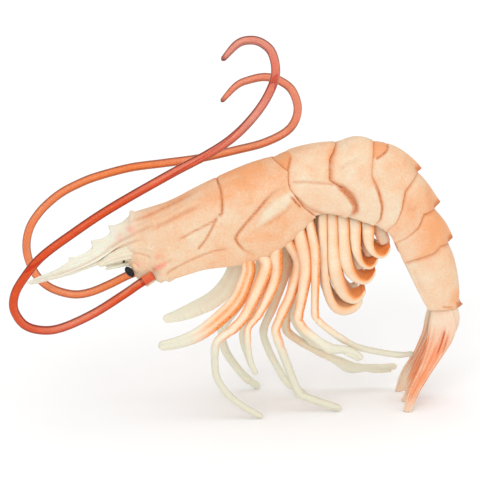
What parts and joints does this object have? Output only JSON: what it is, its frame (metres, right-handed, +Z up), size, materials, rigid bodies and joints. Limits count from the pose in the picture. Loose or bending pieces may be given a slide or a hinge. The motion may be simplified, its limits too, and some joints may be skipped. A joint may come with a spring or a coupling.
{
  "type": "shrimp figure",
  "caption": "Soft-plastic shrimp figure with an arched, plated back, a toothed rostrum and long curled antennae, standing on its legs and tail fan.",
  "frame": {"origin": "middle of the bounding box, on the floor that the figure stands on", "axes": "+Z up, -X toward the head and +X toward the tail, -Y toward the shrimp's left side"},
  "size_m": [0.183, 0.04, 0.1554],
  "materials": {
    "peach_plastic": "cream soft plastic airbrushed peach, satin",
    "cream_plastic": "cream soft plastic, satin, with an orange wash in the grooves",
    "tail_plastic": "cream soft plastic airbrushed orange-pink, satin",
    "red_rod_plastic": "translucent red-orange plastic, glossy",
    "orange_rod_plastic": "translucent orange plastic, glossy",
    "black_gloss": "black paint, high gloss"
  },
  "bodies": {
    "root": {"abdomen_1": "peach_plastic", "abdomen_2": "peach_plastic", "abdomen_3": "peach_plastic", "abdomen_4": "peach_plastic", "abdomen_5": "peach_plastic", "abdomen_6": "peach_plastic", "antenna_left_1": "red_rod_plastic", "antenna_left_2": "red_rod_plastic", "antenna_left_3": "red_rod_plastic", "antenna_left_4": "red_rod_plastic", "antenna_right_1": "orange_rod_plastic", "antenna_right_2": "orange_rod_plastic", "antenna_right_3": "orange_rod_plastic", "antenna_right_4": "orange_rod_plastic", "antennal_scale_left": "cream_plastic", "antennal_scale_right": "cream_plastic", "antennule_left": "cream_plastic", "antennule_right": "cream_plastic", "carapace": "peach_plastic", "eye_left": "black_gloss", "eye_right": "black_gloss", "eye_stalk_left": "cream_plastic", "eye_stalk_right": "cream_plastic", "leg_1_left": "cream_plastic", "leg_1_right": "cream_plastic", "leg_2_left": "cream_plastic", "leg_2_right": "cream_plastic", "leg_3_left": "cream_plastic", "leg_3_right": "cream_plastic", "leg_4_left": "cream_plastic", "leg_4_right": "cream_plastic", "leg_5_left": "cream_plastic", "leg_5_right": "cream_plastic", "maxilliped_left": "cream_plastic", "maxilliped_right": "cream_plastic", "mouthparts": "cream_plastic", "rostrum": "cream_plastic", "sternum": "cream_plastic", "swimmeret_1_left": "cream_plastic", "swimmeret_1_right": "cream_plastic", "swimmeret_2_left": "cream_plastic", "swimmeret_2_right": "cream_plastic", "swimmeret_3_left": "cream_plastic", "swimmeret_3_right": "cream_plastic", "swimmeret_4_left": "cream_plastic", "swimmeret_4_right": "cream_plastic", "swimmeret_5_left": "cream_plastic", "swimmeret_5_right": "cream_plastic", "telson": "tail_plastic", "uropod_inner_left": "tail_plastic", "uropod_inner_right": "tail_plastic", "uropod_outer_left": "tail_plastic", "uropod_outer_right": "tail_plastic"}
  },
  "joints": []
}
